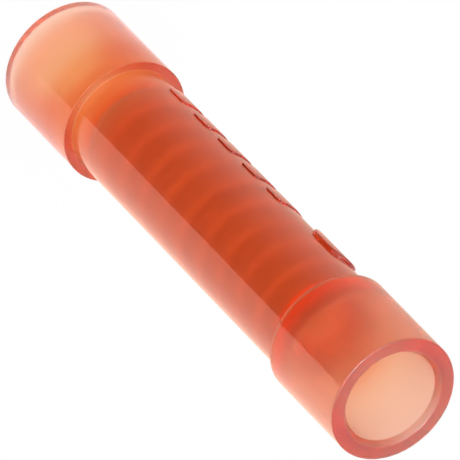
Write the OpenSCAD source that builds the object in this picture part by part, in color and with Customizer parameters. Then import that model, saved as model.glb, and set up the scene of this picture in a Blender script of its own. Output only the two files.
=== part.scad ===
// Butt splice connector that joins two wires end to end.
// A clear moulded sleeve with a bell at each end holds a metal crimp barrel in its waist.
// The connector stands on one bell: Z runs along the wires, and the origin is the middle
// of the bottom end face.

/* [Sleeve] */
// Length from end face to end face
overall_len = 26.4; // [25:0.1:32]
// Outer diameter of each bell
bell_od = 5.5; // [5.3:0.05:6.2]
// Length of each bell, from its end face to its shoulder
bell_len = 4.9; // [4.3:0.1:5.2]
// Outer diameter of the waist between the bells
body_od = 4.8; // [4.5:0.05:5]
// Bore of each bell, which takes the wire's insulation
bell_bore = 4; // [3.6:0.05:4.4]
// Rounding of the outer edge of each end face
rim_round = 0.07; // [0.02:0.01:0.15]
// Rounding of the bell's outer edge at its shoulder
shoulder_round = 0.05; // [0.02:0.01:0.15]
// Fillet where the shoulder runs into the waist
shoulder_fillet = 0.05; // [0.02:0.01:0.25]

/* [Wire entry] */
// How much wider than its bore each mouth is, on the radius
mouth_bevel = 0.18; // [0.05:0.01:0.25]
// How deep the mouth's bevel runs
mouth_bevel_depth = 0.25; // [0.05:0.01:0.5]
// Length of the funnel that leads bare wire into the barrel
funnel_len = 1.6; // [1.2:0.1:2.6]
// How much wider than the barrel's bore the funnel ends, on the radius
funnel_lip = 0.1; // [0.02:0.01:0.2]

/* [Crimp barrel] */
// Length of the barrel
barrel_len = 15; // [13:0.1:15.5]
// Outer diameter of the barrel
barrel_od = 3.4; // [3.1:0.05:3.6]
// Bore of the barrel, which takes the bare wire
barrel_bore = 1.9; // [1.5:0.05:2.1]
// Lead-in chamfer at each end of the bore
bore_chamfer = 0.2; // [0.05:0.01:0.3]
// Chamfer of the barrel's outer edges
edge_chamfer = 0.1; // [0.02:0.01:0.2]
// Gap between the barrel and its seat in the sleeve, on the radius
seat_side_gap = 0.02; // [0.01:0.01:0.05]
// Gap between each end of the barrel and the sleeve
seat_end_gap = 0.05; // [0.01:0.01:0.1]

/* [Wire stop] */
// Width of the ring rolled into the barrel's middle
stop_width = 0.9; // [0.6:0.05:1.2]
// Depth of that ring outside, and height of the ridge that it raises in the bore
stop_depth = 0.3; // [0.15:0.01:0.4]

/* [Crimp rings] */
// Rings rolled round the outside of each half of the barrel
ring_count = 4; // [1:1:4]
// Distance from the middle to the first ring, and from each ring to the next
ring_pitch = 1.55; // [1.3:0.05:1.6]
// Width of a ring
ring_width = 0.32; // [0.2:0.01:0.4]
// Depth of a ring
ring_depth = 0.05; // [0.02:0.01:0.08]
// Grip grooves inside each half of the barrel, midway between the rings
groove_count = 3; // [1:1:3]
// Width of a grip groove
groove_width = 0.3; // [0.15:0.01:0.4]
// Depth of a grip groove
groove_depth = 0.08; // [0.03:0.01:0.12]

/* [Raised marks] */
// Plain raised bars in a row along one side of the waist
bar_count = 5; // [1:1:5]
// Length of a bar along the connector
bar_len = 1.3; // [0.8:0.05:1.5]
// Width of a bar across the waist
bar_span = 2.1; // [1:0.05:2.4]
// Distance from each bar to the next
bar_pitch = 1.95; // [1.7:0.05:2]
// Height of the bars above the waist
bar_height = 0.1; // [0.05:0.01:0.15]
// Corner radius of the bars
bar_corner = 0.3; // [0.1:0.05:0.35]
// Distance from the bottom shoulder to the first bar
bar_start = 1.3; // [0.6:0.05:1.5]
// Length of the round-ended pad after the bars
pad_len = 2.5; // [2:0.1:2.6]
// Width of the pad
pad_span = 1.7; // [1.2:0.05:1.9]
// Height of the pad above the waist
pad_height = 0.2; // [0.1:0.01:0.25]
// Distance from the pad to the top shoulder
pad_margin = 1.95; // [1:0.05:2.2]

/* [Hidden] */
$fn = 96;

bell_r = bell_od / 2;
body_r = body_od / 2;
bell_bore_r = bell_bore / 2;
barrel_r = barrel_od / 2;
barrel_bore_r = barrel_bore / 2;
barrel_wall = barrel_r - barrel_bore_r;
shoulder_step = bell_r - body_r;

// The fillet leaves room on the shoulder for the rounded edge
fillet_r = min(shoulder_fillet, shoulder_step - shoulder_round);

// Seat that holds the barrel, at the middle of the sleeve
seat_r = barrel_r + seat_side_gap;
seat_len = barrel_len + 2 * seat_end_gap;
seat_z = (overall_len - seat_len) / 2;
barrel_z = (overall_len - barrel_len) / 2;
funnel_end_r = barrel_bore_r + funnel_lip;
funnel_z = seat_z - funnel_len;

// Blends reach this far into the walls that they join
overlap = 0.2;

// Radius of the arc that has the given width and depth
function arc_radius(width, depth) = (width * width / 4 + depth * depth) / (2 * depth);

// What a rounding of radius r takes off a corner at [r, r]
module corner_cut(r) {
    difference() {
        square(2 * r);
        circle(r);
    }
}

// What a fillet of radius r adds in a corner at the origin
module corner_fill(r) {
    difference() {
        translate([-overlap, -overlap])
            square(r + overlap);
        translate([r, r])
            circle(r);
    }
}

// Half section of one bell: radius along X, height along Y, end face at Y = 0
module bell_section() {
    difference() {
        square([bell_r, bell_len]);
        translate([bell_r - rim_round, rim_round])
            mirror([0, 1])
                corner_cut(rim_round);
        translate([bell_r - shoulder_round, bell_len - shoulder_round])
            corner_cut(shoulder_round);
    }
    translate([body_r, bell_len])
        corner_fill(fillet_r);
}

// Half section of one wire entry: bevelled mouth, bore and funnel
module entry_section() {
    polygon([
        [0, -overlap],
        [bell_bore_r + mouth_bevel * (1 + overlap / mouth_bevel_depth), -overlap],
        [bell_bore_r, mouth_bevel_depth],
        [bell_bore_r, funnel_z],
        [funnel_end_r, seat_z],
        [funnel_end_r, seat_z + overlap],
        [0, seat_z + overlap]
    ]);
}

// The same half section at both ends of the sleeve
module at_both_ends() {
    children();
    translate([0, overall_len])
        mirror([0, 1])
            children();
}

module sleeve_outside() {
    rotate_extrude()
        union() {
            translate([0, rim_round])
                square([body_r, overall_len - 2 * rim_round]);
            at_both_ends()
                bell_section();
        }
}

module sleeve_inside() {
    rotate_extrude()
        union() {
            at_both_ends()
                entry_section();
            translate([0, seat_z])
                square([seat_r, seat_len]);
        }
}

// Rectangle with rounded corners, centred
module rounded_plate(length, width, corner) {
    square([length, width - 2 * corner], center = true);
    square([length - 2 * corner, width], center = true);
    for (x = [-1, 1], y = [-1, 1])
        translate([x * (length / 2 - corner), y * (width / 2 - corner)])
            circle(corner);
}

// Bar with round ends, centred
module round_ended_plate(length, width) {
    square([length - width, width], center = true);
    for (side = [-1, 1])
        translate([side * (length - width) / 2, 0])
            circle(width / 2);
}

// Flat outline raised from the waist on the -X side, its middle at height z
module raised_mark(z, height) {
    intersection() {
        translate([overlap - body_r, 0, z])
            rotate([0, -90, 0])
                linear_extrude(overlap + height)
                    children();
        cylinder(r = body_r + height, h = overall_len);
    }
}

module raised_marks() {
    for (i = [0 : bar_count - 1])
        raised_mark(bell_len + bar_start + bar_len / 2 + i * bar_pitch, bar_height)
            rounded_plate(bar_len, bar_span, bar_corner);
    raised_mark(overall_len - bell_len - pad_margin - pad_len / 2, pad_height)
        round_ended_plate(pad_len, pad_span);
}

module insulating_sleeve() {
    color([0.85, 0.3, 0.16, 0.6])
        difference() {
            union() {
                sleeve_outside();
                raised_marks();
            }
            sleeve_inside();
        }
}

// Circle that marks an arc of the given width and depth into a wall at radius r.
// The side is 1 where the arc's middle lies outside that wall, and -1 inside it.
module arc_at(r, y, width, depth, side) {
    arc = arc_radius(width, depth);
    translate([r + side * (arc - depth), y])
        circle(arc);
}

// The same arc above and below the middle of the barrel
module on_both_halves(y) {
    for (side = [-1, 1])
        translate([0, barrel_len / 2 + side * y])
            children();
}

// Chamfer cut at a corner of the barrel's wall
module corner_chamfer(size) {
    rotate(45)
        square(size * sqrt(2), center = true);
}

// Half section of the barrel: radius along X, height along Y from its lower end
module barrel_section() {
    difference() {
        union() {
            translate([barrel_bore_r, 0])
                square([barrel_wall, barrel_len]);
            arc_at(barrel_bore_r, barrel_len / 2, stop_width, stop_depth, 1);
        }
        arc_at(barrel_r, barrel_len / 2, stop_width, stop_depth, 1);
        for (i = [1 : ring_count])
            on_both_halves(i * ring_pitch)
                arc_at(barrel_r, 0, ring_width, ring_depth, 1);
        for (i = [1 : groove_count])
            on_both_halves((i + 0.5) * ring_pitch)
                arc_at(barrel_bore_r, 0, groove_width, groove_depth, -1);
        for (y = [0, barrel_len]) {
            translate([barrel_bore_r, y])
                corner_chamfer(bore_chamfer);
            translate([barrel_r, y])
                corner_chamfer(edge_chamfer);
        }
    }
}

module crimp_barrel() {
    color([0.78, 0.78, 0.76])
        translate([0, 0, barrel_z])
            rotate_extrude()
                barrel_section();
}

insulating_sleeve();
crimp_barrel();
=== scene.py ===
# %% [markdown]
# A butt splice connector joins two wires end to end. It is a clear red nylon sleeve, wider at both
# ends, with a metal tube inside. The wires go in from the ends and the tube is crimped on them.
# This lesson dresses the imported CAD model: it keeps the model's frame and sizes, and makes smoother
# meshes, a clear material, a metal one and a small photo studio around them.

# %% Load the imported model
import math

import bpy
from mathutils import Matrix, Vector


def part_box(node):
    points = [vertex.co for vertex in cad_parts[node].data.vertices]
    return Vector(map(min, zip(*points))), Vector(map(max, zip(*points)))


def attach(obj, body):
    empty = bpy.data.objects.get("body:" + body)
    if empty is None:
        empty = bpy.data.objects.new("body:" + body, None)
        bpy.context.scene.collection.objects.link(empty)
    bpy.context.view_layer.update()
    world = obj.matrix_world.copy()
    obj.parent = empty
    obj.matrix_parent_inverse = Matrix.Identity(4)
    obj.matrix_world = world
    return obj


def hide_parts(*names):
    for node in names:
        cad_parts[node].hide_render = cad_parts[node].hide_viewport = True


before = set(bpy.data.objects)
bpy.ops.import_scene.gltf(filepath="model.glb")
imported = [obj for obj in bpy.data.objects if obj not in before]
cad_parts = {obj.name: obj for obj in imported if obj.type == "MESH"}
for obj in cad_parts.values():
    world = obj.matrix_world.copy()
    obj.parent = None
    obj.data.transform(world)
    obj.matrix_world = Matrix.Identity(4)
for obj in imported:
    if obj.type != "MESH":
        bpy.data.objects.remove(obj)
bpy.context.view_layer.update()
MM = 0.001

# %% [markdown]
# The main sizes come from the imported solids, so a new pack carries through to the looks. The finer
# sizes, which a box can't tell, are written here in millimetres, as a drawing of the part has them.

# %% Sizes of the sleeve and the barrel, in millimetres
sleeve_low, sleeve_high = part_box("insulating_sleeve")
barrel_low, barrel_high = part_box("crimp_barrel")
overall_len = (sleeve_high.z - sleeve_low.z) / MM
bell_r = sleeve_high.x / MM
barrel_r = barrel_high.x / MM
barrel_bottom = barrel_low.z / MM
barrel_top = barrel_high.z / MM
barrel_middle = (barrel_bottom + barrel_top) / 2

bell_len = 4.9
waist_len = overall_len - 2 * bell_len
body_r = 2.4
bell_bore_r = 2.0
mouth_bevel = 0.18
mouth_bevel_depth = 0.25
rim_round = 0.07
shoulder_round = 0.02
shoulder_fillet = 0.02
funnel_len = 1.6
barrel_bore_r = 0.95
funnel_end_r = barrel_bore_r + 0.1
print("overall", round(overall_len, 3), "bell radius", round(bell_r, 3))
print("barrel from", round(barrel_bottom, 3), "to", round(barrel_top, 3), "radius", round(barrel_r, 3))

# %% [markdown]
# The photograph was taken with a long lens from 45 degrees above the table, with the camera turned
# so that the connector runs from the upper left to the lower right. The camera here stands on the
# same line of sight. Its axes are worked out from that line and from the way the connector's own
# axis runs in the picture, so nothing has to be aimed by hand.

# %% Camera
view_from_axis = math.radians(44.89)
axis_in_picture = math.radians(45.91)
camera_distance = 604.6 * MM
pixels_per_mm = 25.32
picture_size = 460
sensor_width = 36.0
middle_in_picture = (226.74, 227.42)

target = Vector((0, 0, overall_len / 2 * MM))
to_camera = Vector((0, -math.sin(view_from_axis), math.cos(view_from_axis)))
axis_seen = (Vector((0, 0, 1)) - to_camera * to_camera.z).normalized()
picture_right = Matrix.Rotation(axis_in_picture, 3, to_camera) @ axis_seen
picture_up = to_camera.cross(picture_right)
step_right = (picture_size / 2 - middle_in_picture[0]) / pixels_per_mm * MM
step_up = (middle_in_picture[1] - picture_size / 2) / pixels_per_mm * MM

camera_data = bpy.data.cameras.new("camera")
camera_data.sensor_width = sensor_width
camera_data.lens = sensor_width * pixels_per_mm / MM * camera_distance / picture_size
camera_data.clip_start = 0.01
camera_data.clip_end = 10
camera = bpy.data.objects.new("camera", camera_data)
turn = Matrix((picture_right, picture_up, to_camera)).transposed().to_4x4()
place = target + to_camera * camera_distance + picture_right * step_right + picture_up * step_up
camera.matrix_world = Matrix.Translation(place) @ turn
scene = bpy.context.scene
scene.collection.objects.link(camera)
scene.camera = camera
print("lens in mm:", round(camera_data.lens, 1))

# %% [markdown]
# The studio's and the part's materials are built from the same few kinds of shader node, so short
# helpers make them. Masks come from Object coordinates, which stay with the part.

# %% Helpers that make shader nodes


def math_node(tree, operation, *values):
    """A Math node; each value is a number or the socket that feeds that input."""
    node = tree.nodes.new("ShaderNodeMath")
    node.operation = operation
    for i, value in enumerate(values):
        if isinstance(value, (int, float)):
            node.inputs[i].default_value = value
        else:
            tree.links.new(value, node.inputs[i])
    return node.outputs[0]


def map_range(tree, value, from_min, from_max, to_min, to_max):
    """A smooth Map Range node."""
    node = tree.nodes.new("ShaderNodeMapRange")
    node.interpolation_type = "SMOOTHSTEP"
    names = ("From Min", "From Max", "To Min", "To Max")
    for name, number in zip(names, (from_min, from_max, to_min, to_max)):
        node.inputs[name].default_value = number
    tree.links.new(value, node.inputs["Value"])
    return node.outputs["Result"]


def ramp(tree, value, start, end):
    """0 at start and 1 at end, smooth between; start and end are in millimetres."""
    return map_range(tree, value, start * MM, end * MM, 0, 1)


def object_xyz(tree):
    """A Separate XYZ node on Object coordinates."""
    node = tree.nodes.new("ShaderNodeSeparateXYZ")
    tree.links.new(tree.nodes.new("ShaderNodeTexCoord").outputs["Object"], node.inputs[0])
    return node


def distance_from_axis(tree, xyz):
    """Distance from the connector's axis, from a Separate XYZ node."""
    square = math_node(tree, "MULTIPLY", xyz.outputs["X"], xyz.outputs["X"])
    square = math_node(tree, "MULTIPLY_ADD", xyz.outputs["Y"], xyz.outputs["Y"], square)
    return math_node(tree, "SQRT", square)


def mix_colours(tree, share, first, second):
    """A Mix node for colours; first may also be the socket that feeds it."""
    node = tree.nodes.new("ShaderNodeMix")
    node.data_type = "RGBA"
    if isinstance(first, tuple):
        node.inputs[6].default_value = first
    else:
        tree.links.new(first, node.inputs[6])
    node.inputs[7].default_value = second
    tree.links.new(share, node.inputs["Factor"])
    return node.outputs[2]


# %% [markdown]
# The studio has a white floor and a white surround. Rays that mirror off the part or pass through it
# see both as plain white at strength 1. The camera sees the floor with a part of its lamp-lit shade,
# so that the connector's shadow shows. The floor lies a hair below the connector, because nylon that
# touched it would show the floor's white through its end face.

# %% Floor and surround
scene.view_settings.view_transform = "Standard"
scene.cycles.max_bounces = 32
scene.cycles.transmission_bounces = 32
scene.cycles.glossy_bounces = 24
SURROUND_LIGHT = 0.3
FLOOR_GLOW_SEEN = 0.955
FLOOR_GAP_MM = 0.02


def make_surround():
    world = bpy.data.worlds.new("surround")
    world.use_nodes = True
    tree = world.node_tree
    path = tree.nodes.new("ShaderNodeLightPath").outputs
    seen = math_node(tree, "MAXIMUM", path["Is Camera Ray"], path["Is Glossy Ray"])
    seen = math_node(tree, "MAXIMUM", seen, path["Is Transmission Ray"])
    strength = math_node(tree, "MULTIPLY_ADD", seen, 1 - SURROUND_LIGHT, SURROUND_LIGHT)
    background = tree.nodes["Background"]
    background.inputs["Color"].default_value = (1, 1, 1, 1)
    tree.links.new(strength, background.inputs["Strength"])
    world.cycles.sampling_method = "NONE"
    scene.world = world


def floor_material():
    material = bpy.data.materials.new("floor")
    material.use_nodes = True
    tree = material.node_tree
    tree.nodes.clear()
    path = tree.nodes.new("ShaderNodeLightPath").outputs
    through = math_node(tree, "MAXIMUM", path["Is Glossy Ray"], path["Is Transmission Ray"])
    share = math_node(tree, "MULTIPLY_ADD", path["Is Camera Ray"], FLOOR_GLOW_SEEN, through)
    paper = tree.nodes.new("ShaderNodeBsdfDiffuse")
    paper.inputs["Color"].default_value = (0.92, 0.92, 0.92, 1)
    glow = tree.nodes.new("ShaderNodeEmission")
    mix = tree.nodes.new("ShaderNodeMixShader")
    output = tree.nodes.new("ShaderNodeOutputMaterial")
    tree.links.new(share, mix.inputs["Fac"])
    tree.links.new(paper.outputs[0], mix.inputs[1])
    tree.links.new(glow.outputs[0], mix.inputs[2])
    tree.links.new(mix.outputs[0], output.inputs["Surface"])
    material.cycles.emission_sampling = "NONE"
    return material


make_surround()
bpy.ops.object.select_all(action="DESELECT")
bpy.ops.mesh.primitive_plane_add(size=4.0, location=(0, 0, -FLOOR_GAP_MM * MM))
floor = bpy.context.object
floor.name = "floor"
floor.data.materials.append(floor_material())
print("floor", floor.dimensions[:])

# %% [markdown]
# The photograph shows what the nylon's shiny skin mirrors: a dark stripe along the middle, where the
# dark side of the studio is, a bright band with a sharp edge below it, and a soft light above it. A
# side wall that is seen from 45 degrees mirrors the floor round the connector, so a card lies there.
# Only mirrored rays see it. Its brightness follows the direction round the connector's axis. Close to
# the connector it is a plain warm colour, as white paper is beside a clear red part.

# %% Reflection card
CARD_BRIGHT = 1.53
CARD_COLOUR = (1.0, 0.66, 0.53, 1)
CARD_NEAR = 1.19
CARD_NEAR_COLOUR = (1.0, 0.75, 0.73, 1)
CARD_NEAR_MM = (3.5, 8.0)
CARD_SOFT = 0.93
CARD_RADIUS_MM = 150
EDGE_ANGLE = math.radians(114)
SOFT_ANGLE = math.radians(100)


def card_pattern(tree, x, y):
    """Brightness by the direction round the axis: a bright side with a sharp edge, and a soft light."""
    edge_x, edge_y = -body_r * MM * math.cos(EDGE_ANGLE), -body_r * MM * math.sin(EDGE_ANGLE)
    across_x, across_y = -math.cos(2 * EDGE_ANGLE), -math.sin(2 * EDGE_ANGLE)
    beyond = math_node(tree, "MULTIPLY_ADD", y, across_y, -edge_x * across_x - edge_y * across_y)
    beyond = math_node(tree, "MULTIPLY_ADD", x, across_x, beyond)
    bright_side = math_node(tree, "GREATER_THAN", beyond, 0)
    bright_side = math_node(tree, "MULTIPLY", bright_side, math_node(tree, "GREATER_THAN", x, 0))
    left = math_node(tree, "MULTIPLY", x, -1)
    front = math_node(tree, "MULTIPLY", y, -1)
    angle = math_node(tree, "ARCTAN2", left, front)
    soft = map_range(tree, angle, 0, SOFT_ANGLE, 0, CARD_SOFT)
    strength = math_node(tree, "MULTIPLY", bright_side, CARD_BRIGHT)
    other_side = math_node(tree, "SUBTRACT", 1, bright_side)
    return math_node(tree, "MULTIPLY_ADD", other_side, soft, strength)


def card_material():
    material = bpy.data.materials.new("card")
    material.use_nodes = True
    tree = material.node_tree
    tree.nodes.clear()
    xyz = object_xyz(tree)
    away = ramp(tree, distance_from_axis(tree, xyz), *CARD_NEAR_MM)
    near = math_node(tree, "SUBTRACT", 1, away)
    strength = card_pattern(tree, xyz.outputs["X"], xyz.outputs["Y"])
    strength = math_node(tree, "MULTIPLY", strength, away)
    strength = math_node(tree, "MULTIPLY_ADD", near, CARD_NEAR, strength)
    glow = tree.nodes.new("ShaderNodeEmission")
    tree.links.new(mix_colours(tree, away, CARD_NEAR_COLOUR, CARD_COLOUR), glow.inputs["Color"])
    tree.links.new(strength, glow.inputs["Strength"])
    output = tree.nodes.new("ShaderNodeOutputMaterial")
    tree.links.new(glow.outputs[0], output.inputs["Surface"])
    material.cycles.emission_sampling = "NONE"
    return material


bpy.ops.object.select_all(action="DESELECT")
bpy.ops.mesh.primitive_circle_add(
    vertices=64, radius=CARD_RADIUS_MM * MM, fill_type="NGON", location=(0, 0, -FLOOR_GAP_MM * MM / 2)
)
card = bpy.context.object
card.name = "card"
card.data.materials.append(card_material())
card.visible_camera = False
card.visible_diffuse = False
card.visible_transmission = False
card.visible_volume_scatter = False
card.visible_shadow = False
print("card", card.dimensions[:])

# %% [markdown]
# A large soft lamp above the front lights the connector at a plain level. A small one straight above
# gives the rounded rims a thin highlight.

# %% Lamps


def add_lamp(name, place_mm, aim_mm, size_mm, watts):
    data = bpy.data.lights.new(name, "AREA")
    data.shape = "DISK"
    data.size = size_mm * MM
    data.energy = watts
    lamp = bpy.data.objects.new(name, data)
    lamp.location = Vector(place_mm) * MM
    aim = (Vector(aim_mm) - Vector(place_mm)).normalized()
    lamp.rotation_mode = "QUATERNION"
    lamp.rotation_quaternion = aim.to_track_quat("-Z", "Y")
    lamp.visible_camera = False
    scene.collection.objects.link(lamp)


add_lamp("top_lamp", place_mm=(0, -70, 300), aim_mm=(0, 0, 10), size_mm=420, watts=0.97)
add_lamp("key_lamp", place_mm=(0, 0, 300), aim_mm=(0, 0, 10), size_mm=60, watts=0.15)

# %% [markdown]
# Both pieces are turned shapes, so each starts as half of its section and is spun round the axis.
# The section is written as corners with a rounding each. Short steps beside every rounding keep the
# flat faces flat when the mesh is shaded smooth.

# %% Helpers that draw a section
ROUND_STEPS = 6
SUPPORT_MM = 0.02
SEGMENTS = 192
MERGE_MM = 0.0005


def rounded_path(corners):
    """Points along a closed outline of (radius, height, rounding) corners, in millimetres."""
    points = []
    for i, (r, z, rounding) in enumerate(corners):
        corner = Vector((r, z))
        before = Vector(corners[i - 1][:2]) - corner
        after = Vector(corners[(i + 1) % len(corners)][:2]) - corner
        if rounding == 0:
            points.append(corner)
            continue
        half = before.angle(after) / 2
        reach = rounding / math.tan(half)
        before.normalize()
        after.normalize()
        centre = corner + (before + after).normalized() * rounding / math.sin(half)
        start = corner + before * reach - centre
        sweep = start.angle_signed(corner + after * reach - centre)
        points.append(corner + before * (reach + SUPPORT_MM))
        for k in range(ROUND_STEPS + 1):
            turned = Matrix.Rotation(-sweep * k / ROUND_STEPS, 2) @ start
            points.append(centre + turned)
        points.append(corner + after * (reach + SUPPORT_MM))
    return points


def arc_dent(r, z, width, depth, steps):
    """Points of a shallow arc of the given width and depth in a wall at radius r, going up."""
    arc = (width * width / 4 + depth * depth) / (2 * abs(depth))
    half = math.asin(width / 2 / arc)
    points = []
    for k in range(steps + 1):
        angle = half * (2 * k / steps - 1)
        sunk = math.copysign(arc * math.cos(angle) - arc + abs(depth), depth)
        points.append(Vector((r - sunk, z + arc * math.sin(angle))))
    return points


def spin_piece(name, points):
    """Draws the closed section point by point, spins it round Z and returns the new piece."""
    bpy.ops.object.select_all(action="DESELECT")
    bpy.ops.mesh.primitive_plane_add(size=MM)
    piece = bpy.context.object
    piece.name = name
    piece.data.name = name
    bpy.ops.object.mode_set(mode="EDIT")
    bpy.ops.mesh.select_all(action="SELECT")
    bpy.ops.mesh.merge(type="CENTER")
    at = Vector((0, 0, 0))
    for i, (r, z) in enumerate([*points, points[0]]):
        step = Vector((r * MM, 0, z * MM)) - at
        if i == 0:
            bpy.ops.transform.translate(value=step)
        else:
            bpy.ops.mesh.extrude_vertices_move(TRANSFORM_OT_translate={"value": step})
        at += step
    bpy.ops.mesh.select_all(action="SELECT")
    bpy.ops.mesh.remove_doubles(threshold=MERGE_MM * MM)
    bpy.ops.mesh.spin(steps=SEGMENTS, angle=2 * math.pi, center=(0, 0, 0), axis=(0, 0, 1))
    bpy.ops.mesh.select_all(action="SELECT")
    bpy.ops.mesh.remove_doubles(threshold=MERGE_MM * MM)
    bpy.ops.mesh.normals_make_consistent(inside=False)
    bpy.ops.object.mode_set(mode="OBJECT")
    print(name, "has", len(piece.data.vertices), "vertices and", len(piece.data.polygons), "faces")
    return piece


# %% [markdown]
# The barrel is a rolled tube. A wide groove round its middle is pressed in from outside and shows as
# a ridge inside, where it stops the wires. Shallow rings run round it at an even pitch, and its bore
# has grip grooves between them. The photograph hardly shows the groove and the rings through the
# nylon, so they are much shallower here than on the CAD model.

# %% Barrel
stop_width = 0.9
stop_groove = 0.012
stop_ridge = 0.3
ring_pitch = 1.55
ring_width = 0.32
ring_depth = 0.004
ring_count = 4
groove_width = 0.3
groove_depth = 0.08
groove_count = 3
edge_chamfer = 0.1
bore_chamfer = 0.2
grip_places = [(i + 1.5) * ring_pitch for i in range(groove_count)]
STOP_STEPS = 16
RING_STEPS = 8
GROOVE_STEPS = 6


def barrel_outside(inset=0.0):
    """The barrel's outer outline from its lower to its upper end face, moved into the metal by inset."""
    r = barrel_r - inset
    bottom, top = barrel_bottom + inset, barrel_top - inset
    points = [Vector((r - edge_chamfer, bottom)), Vector((r, bottom + edge_chamfer))]
    for i in range(-ring_count, ring_count + 1):
        if i == 0:
            points += arc_dent(r, barrel_middle, stop_width, stop_groove, STOP_STEPS)
        else:
            points += arc_dent(r, barrel_middle + i * ring_pitch, ring_width, ring_depth, RING_STEPS)
    return points + [Vector((r, top - edge_chamfer)), Vector((r - edge_chamfer, top))]


def barrel_inside():
    """The barrel's bore outline from its upper to its lower end face."""
    r = barrel_bore_r
    points = [Vector((r + bore_chamfer, barrel_bottom)), Vector((r, barrel_bottom + bore_chamfer))]
    for place in reversed(grip_places):
        points += arc_dent(r, barrel_middle - place, groove_width, -groove_depth, GROOVE_STEPS)
    points += arc_dent(r, barrel_middle, stop_width, stop_ridge, STOP_STEPS)
    for place in grip_places:
        points += arc_dent(r, barrel_middle + place, groove_width, -groove_depth, GROOVE_STEPS)
    points += [Vector((r, barrel_top - bore_chamfer)), Vector((r + bore_chamfer, barrel_top))]
    return points[::-1]


barrel = spin_piece("metal_barrel", barrel_outside() + barrel_inside())
bpy.ops.object.shade_smooth_by_angle(angle=math.radians(30))

# %% [markdown]
# The sleeve's section runs up its outside and comes back down through its bore. Where it holds the
# barrel it follows the barrel's own outline, a few thousandths of a millimetre inside the metal, so
# that no film of air is left between the two.

# %% Sleeve
contact = 0.004
mouth_edge = 0.1
funnel_round = 2.0

lower_outside = [
    (bell_bore_r + mouth_bevel, 0, mouth_edge),
    (bell_r, 0, rim_round),
    (bell_r, bell_len, shoulder_round),
    (body_r, bell_len, shoulder_fillet),
]
lower_inside = [
    (funnel_end_r, barrel_bottom + contact, 0),
    (bell_bore_r, barrel_bottom - funnel_len, funnel_round),
    (bell_bore_r, mouth_bevel_depth, mouth_edge),
]
seat = [(p.x, p.y, 0) for p in reversed(barrel_outside(contact))]


def turned_over(corners):
    """The same corners at the other end of the sleeve, in the order that follows on."""
    return [(r, overall_len - z, rounding) for r, z, rounding in reversed(corners)]


section = rounded_path(
    lower_outside + turned_over(lower_outside) + turned_over(lower_inside) + seat + lower_inside
)
sleeve = spin_piece("clear_sleeve", section)

# %% [markdown]
# One side of the waist has raised marks: a row of plain bars and a larger pad with round ends. Each
# is a flat plate with rounded corners and a soft top edge, and is then bent round the waist. Its root
# reaches into the nylon, so that it joins the sleeve without a gap.

# %% Helpers that make a raised mark
MARK_ROOT = 0.3
MARK_STRIPS = 24
CORNER_SEGMENTS = 8
SOFT_SEGMENTS = 4


def unite(piece, other):
    """Makes other a part of piece, as one closed body."""
    modifier = piece.modifiers.new("union", "BOOLEAN")
    modifier.operation = "UNION"
    modifier.solver = "MANIFOLD"
    modifier.object = other
    bpy.ops.object.select_all(action="DESELECT")
    piece.select_set(True)
    bpy.context.view_layer.objects.active = piece
    bpy.ops.object.modifier_apply(modifier=modifier.name)
    bpy.data.objects.remove(other)


def select_edges(piece, wanted):
    """Selects the edges for which wanted(a, b) holds, a and b being their ends in millimetres."""
    bpy.ops.object.mode_set(mode="EDIT")
    bpy.ops.mesh.select_mode(type="EDGE")
    bpy.ops.mesh.select_all(action="DESELECT")
    bpy.ops.object.mode_set(mode="OBJECT")
    for edge in piece.data.edges:
        edge.select = wanted(*(piece.data.vertices[i].co / MM for i in edge.vertices))
    bpy.ops.object.mode_set(mode="EDIT")


def raised_mark(name, z, length, span, height, corner, soft):
    """A plate with round corners and a soft top edge, bent round the waist's -X side."""
    bpy.ops.object.select_all(action="DESELECT")
    bpy.ops.mesh.primitive_cube_add(size=1, location=(0, (MARK_ROOT - height) / 2 * MM, z * MM))
    mark = bpy.context.object
    mark.name = name
    mark.scale = (span * MM, (height + MARK_ROOT) * MM, length * MM)
    bpy.ops.object.transform_apply(location=True, rotation=True, scale=True)
    select_edges(mark, lambda a, b: abs(a.y - b.y) > MARK_ROOT / 2)
    bpy.ops.mesh.bevel(offset=corner * MM, segments=CORNER_SEGMENTS, affect="EDGES")
    bpy.ops.object.mode_set(mode="OBJECT")
    select_edges(mark, lambda a, b: max(a.y, b.y) < -height / 2)
    bpy.ops.mesh.bevel(offset=soft * MM, segments=SOFT_SEGMENTS, affect="EDGES")
    for k in range(1, MARK_STRIPS):
        bpy.ops.mesh.select_all(action="SELECT")
        cut = (k / MARK_STRIPS - 0.5) * span * MM
        bpy.ops.mesh.bisect(plane_co=(cut, 0, 0), plane_no=(1, 0, 0))
    bpy.ops.object.mode_set(mode="OBJECT")
    bend = mark.modifiers.new("bend", "SIMPLE_DEFORM")
    bend.deform_method = "BEND"
    bend.deform_axis = "Z"
    bend.angle = span / body_r
    bpy.ops.object.modifier_apply(modifier=bend.name)
    bpy.ops.transform.translate(value=(0, -body_r * MM, 0))
    bpy.ops.object.transform_apply(location=True, rotation=True, scale=True)
    mark.rotation_euler = (0, 0, math.radians(-90))
    bpy.ops.object.transform_apply(location=True, rotation=True, scale=True)
    return mark


# %% [markdown]
# The first bar is copied along the row, the pad follows, and a union makes the marks and the sleeve
# one body. Like the rings, the marks look faint in the photograph, so they are lower and softer here
# than on the CAD model.

# %% Raised marks
bar_len, bar_span, bar_height, bar_corner, bar_soft = 1.3, 2.1, 0.06, 0.3, 0.03
bar_start, bar_pitch, bar_count = 1.3, 1.95, 5
pad_len, pad_span, pad_height, pad_soft = 2.5, 1.7, 0.15, 0.08
pad_corner = 0.499 * pad_span
pad_margin = 1.95
bar_places = [bell_len + bar_start + bar_len / 2 + i * bar_pitch for i in range(bar_count)]
pad_place = overall_len - bell_len - pad_margin - pad_len / 2

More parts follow.
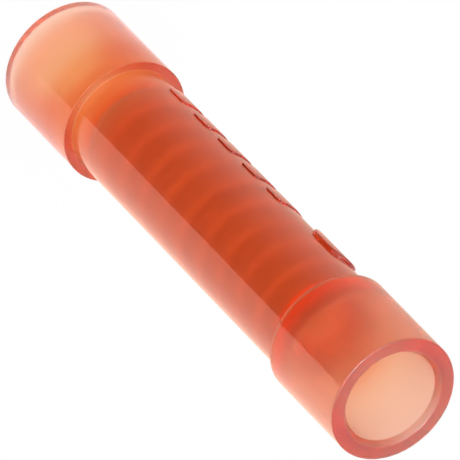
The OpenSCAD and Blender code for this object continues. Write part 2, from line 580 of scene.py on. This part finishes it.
marks = [raised_mark("raised_bars", bar_places[0], bar_len, bar_span, bar_height, bar_corner, bar_soft)]
for z in bar_places[1:]:
    bpy.ops.object.select_all(action="DESELECT")
    marks[0].select_set(True)
    bpy.context.view_layer.objects.active = marks[0]
    bpy.ops.object.duplicate()
    bpy.ops.transform.translate(value=(0, 0, (z - bar_places[0]) * MM))
    bpy.ops.object.transform_apply(location=True, rotation=True, scale=True)
    marks.append(bpy.context.object)
marks.append(
    raised_mark("raised_pad", pad_place, pad_len, pad_span, pad_height, pad_corner, pad_soft)
)
bpy.ops.object.select_all(action="DESELECT")
for mark in marks:
    mark.select_set(True)
bpy.context.view_layer.objects.active = marks[0]
bpy.ops.object.join()
print("marks have", len(marks[0].data.vertices), "vertices")
unite(sleeve, marks[0])
bpy.ops.object.mode_set(mode="EDIT")
bpy.ops.mesh.select_all(action="SELECT")
bpy.ops.mesh.remove_doubles(threshold=MERGE_MM * MM)
bpy.ops.mesh.normals_make_consistent(inside=False)
bpy.ops.object.mode_set(mode="OBJECT")
bpy.ops.object.shade_smooth_by_angle(angle=math.radians(25))
print("sleeve with marks has", len(sleeve.data.vertices), "vertices")

# %% [markdown]
# One node group makes a fine mottle from Object coordinates. The nylon takes its uneven haze from it
# and the barrel its uneven shine, each with its own values.

# %% Node group


def make_mottle_group():
    group = bpy.data.node_groups.new("fine_mottle", "ShaderNodeTree")
    for name, value in (("Grain", 800.0), ("Stretch", 1.0), ("Low", 0.0), ("High", 1.0)):
        socket = group.interface.new_socket(name, in_out="INPUT", socket_type="NodeSocketFloat")
        socket.default_value = value
    group.interface.new_socket("Value", in_out="OUTPUT", socket_type="NodeSocketFloat")
    group.interface.new_socket("Height", in_out="OUTPUT", socket_type="NodeSocketFloat")
    given = group.nodes.new("NodeGroupInput").outputs
    result = group.nodes.new("NodeGroupOutput").inputs
    xyz = object_xyz(group)
    along = math_node(group, "MULTIPLY", xyz.outputs["Z"], given["Stretch"])
    joined = group.nodes.new("ShaderNodeCombineXYZ")
    group.links.new(xyz.outputs["X"], joined.inputs["X"])
    group.links.new(xyz.outputs["Y"], joined.inputs["Y"])
    group.links.new(along, joined.inputs["Z"])
    noise = group.nodes.new("ShaderNodeTexNoise")
    noise.inputs["Detail"].default_value = 3
    group.links.new(joined.outputs[0], noise.inputs["Vector"])
    group.links.new(given["Grain"], noise.inputs["Scale"])
    spread = group.nodes.new("ShaderNodeMapRange")
    spread.inputs["From Min"].default_value = 0.3
    spread.inputs["From Max"].default_value = 0.7
    group.links.new(noise.outputs[0], spread.inputs["Value"])
    group.links.new(given["Low"], spread.inputs["To Min"])
    group.links.new(given["High"], spread.inputs["To Max"])
    group.links.new(spread.outputs["Result"], result["Value"])
    group.links.new(noise.outputs[0], result["Height"])
    return group


mottle_group = make_mottle_group()


def add_mottle(tree, grain, stretch, low, high):
    node = tree.nodes.new("ShaderNodeGroup")
    node.node_tree = mottle_group
    for name, value in zip(("Grain", "Stretch", "Low", "High"), (grain, stretch, low, high)):
        node.inputs[name].default_value = value
    return node.outputs


print("group outputs:", [item.name for item in mottle_group.interface.items_tree])

# %% [markdown]
# The nylon is hazy inside and shiny outside. A rough body blurs what is seen through it, a smooth
# coat on the outside keeps the mirrored edges sharp, and the volume takes green and blue out of the
# light by depth. The tint follows the height as well: it is pale in the ends and deep over the barrel.
# Its funnels and shoulders are a little more matt than the rest. At the near shoulder the tint paints
# light: a pale stop paints a highlight line on its edge, and a less red stop above it paints shade over
# a red glow.

# %% Nylon
ABSORB_PER_MM = (0.001, 0.42, 0.66)
CLEAR_SHARE = 0.975
NYLON_IOR = 1.466
HAZE = (0.33, 0.39)
FUNNEL_MATT = 0.32
SHOULDER_MATT = 0.35
WAIST_TINT = (0.93, 0.236, 0.085)
TINTS_WITH_PAINTED_SHOULDER_LIGHT = [
    (0.0, (1.0, 0.92, 0.86)),
    (1.2, (1.0, 0.55, 0.33)),
    (2.4, (1.0, 0.63, 0.35)),
    (3.6, (1.0, 0.50, 0.19)),
    (4.9, (1.0, 0.75, 0.44)),
    (5.6, (1.0, 0.67, 0.44)),
    (6.5, WAIST_TINT),
    (21.2, WAIST_TINT),
    # Painted light at the near shoulder: the pale stop at 21.53 paints a highlight line on its edge, and
    # the less red stop at 21.62 paints shade over the red glow there.
    (21.44, (0.93, 0.30, 0.12)),
    (21.53, (1.0, 1.0, 0.95)),
    (21.62, (0.80, 0.44, 0.22)),
    (22.3, (1.0, 0.66, 0.46)),
    (23.5, (1.0, 0.82, 0.65)),
    (26.4, (1.0, 0.87, 0.82)),
]


def colours_along(tree, z, stops):
    """Colours that follow the height, from (height in millimetres, colour) stops."""
    node = tree.nodes.new("ShaderNodeValToRGB")
    scale = math_node(tree, "MULTIPLY", z, 1 / (overall_len * MM))
    tree.links.new(scale, node.inputs["Fac"])
    elements = node.color_ramp.elements
    for _ in stops[2:]:
        elements.new(1.0)
    for element, (height, colour) in zip(elements, stops):
        element.position = height / overall_len
        element.color = (*colour, 1)
    return node.outputs["Color"]


def nylon_material():
    material = bpy.data.materials.new("clear_nylon")
    material.use_nodes = True
    tree = material.node_tree
    shader = tree.nodes["Principled BSDF"]
    shader.inputs["IOR"].default_value = NYLON_IOR
    shader.inputs["Transmission Weight"].default_value = CLEAR_SHARE
    shader.inputs["Specular Tint"].default_value = (0.3, 0.3, 0.3, 1)
    shader.inputs["Coat Roughness"].default_value = 0.02
    shader.inputs["Coat IOR"].default_value = 1.53
    xyz = object_xyz(tree)
    z = xyz.outputs["Z"]
    tree.links.new(colours_along(tree, z, TINTS_WITH_PAINTED_SHOULDER_LIGHT), shader.inputs["Base Color"])
    radius = distance_from_axis(tree, xyz)
    outside = ramp(tree, radius, bell_bore_r + 0.05, bell_bore_r + 0.15)
    tree.links.new(outside, shader.inputs["Coat Weight"])
    haze = add_mottle(tree, grain=700, stretch=1, low=HAZE[0], high=HAZE[1])
    funnel = ramp(tree, radius, bell_bore_r - 0.02, bell_bore_r - 0.15)
    rough = math_node(tree, "MULTIPLY_ADD", funnel, FUNNEL_MATT, haze["Value"])
    past_shoulder = math_node(tree, "SUBTRACT", z, bell_len * MM)
    from_shoulder = math_node(tree, "PINGPONG", past_shoulder, waist_len / 2 * MM)
    shoulder = ramp(tree, from_shoulder, 0.06, 0.03)
    shoulder = math_node(tree, "MULTIPLY", shoulder, ramp(tree, radius, body_r + 0.02, body_r + 0.06))
    rough = math_node(tree, "MULTIPLY_ADD", shoulder, SHOULDER_MATT, rough)
    tree.links.new(rough, shader.inputs["Roughness"])
    bump = tree.nodes.new("ShaderNodeBump")
    bump.inputs["Distance"].default_value = 0.004 * MM
    tree.links.new(haze["Height"], bump.inputs["Height"])
    tree.links.new(bump.outputs[0], shader.inputs["Normal"])
    most = max(ABSORB_PER_MM) * 1.02
    absorb = tree.nodes.new("ShaderNodeVolumeAbsorption")
    absorb.inputs["Color"].default_value = (*[1 - a / most for a in ABSORB_PER_MM], 1)
    absorb.inputs["Density"].default_value = most / MM
    tree.links.new(absorb.outputs[0], tree.nodes["Material Output"].inputs["Volume"])
    return material


sleeve.data.materials.clear()
sleeve.data.materials.append(nylon_material())
print("nylon takes up", ABSORB_PER_MM, "of red, green and blue to the millimetre")

# %% [markdown]
# The barrel is tinned. Its colour is painted brighter along its rolled rings, a painted highlight
# where the rings catch the light, and it is warmer and more matt in its bore.

# %% Tin
DULL_TIN = (0.77, 0.75, 0.72, 1)
BRIGHT_TIN = (0.99, 0.97, 0.94, 1)
BORE_TIN = (0.99, 0.84, 0.68, 1)
BORE_MATT = 0.26
RING_PAINTED_HIGHLIGHT = 0.6
RING_PAINTED_HIGHLIGHT_MM = 0.42


def tin_material():
    material = bpy.data.materials.new("tinned_metal")
    material.use_nodes = True
    tree = material.node_tree
    shader = tree.nodes["Principled BSDF"]
    shader.inputs["Metallic"].default_value = 1
    xyz = object_xyz(tree)
    from_middle = math_node(tree, "SUBTRACT", xyz.outputs["Z"], barrel_middle * MM)
    from_ring = math_node(tree, "PINGPONG", from_middle, ring_pitch / 2 * MM)
    # Painted highlight: the tin's colour is made brighter near each rolled ring, where the rings catch
    # the light.
    ring_highlight = ramp(tree, from_ring, RING_PAINTED_HIGHLIGHT_MM, 0.0)
    bore = ramp(tree, distance_from_axis(tree, xyz), barrel_r - 0.1, barrel_r - 0.2)
    patch = add_mottle(tree, grain=900, stretch=1, low=0, high=0.3)
    bright = math_node(tree, "MULTIPLY_ADD", ring_highlight, RING_PAINTED_HIGHLIGHT, patch["Value"])
    colour = mix_colours(tree, bright, DULL_TIN, BRIGHT_TIN)
    tree.links.new(mix_colours(tree, bore, colour, BORE_TIN), shader.inputs["Base Color"])
    shine = add_mottle(tree, grain=1500, stretch=8, low=0.34, high=0.46)
    rough = math_node(tree, "MULTIPLY_ADD", bore, BORE_MATT, shine["Value"])
    tree.links.new(rough, shader.inputs["Roughness"])
    bump = tree.nodes.new("ShaderNodeBump")
    bump.inputs["Distance"].default_value = 0.006 * MM
    tree.links.new(shine["Height"], bump.inputs["Height"])
    tree.links.new(bump.outputs[0], shader.inputs["Normal"])
    return material


barrel.data.materials.append(tin_material())
print("barrel wears", barrel.data.materials[0].name)

# %% [markdown]
# Each piece rides on the part's one body and stands for its CAD node, which is hidden. The name of its
# slot is printed.

# %% Tie the pieces to the imported model
for piece, node, slot in (
    (sleeve, "insulating_sleeve", "red_nylon"),
    (barrel, "crimp_barrel", "tinned_metal"),
):
    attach(piece, "root")
    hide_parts(node)
    print(piece.name, "replaces", node, "in slot", slot)
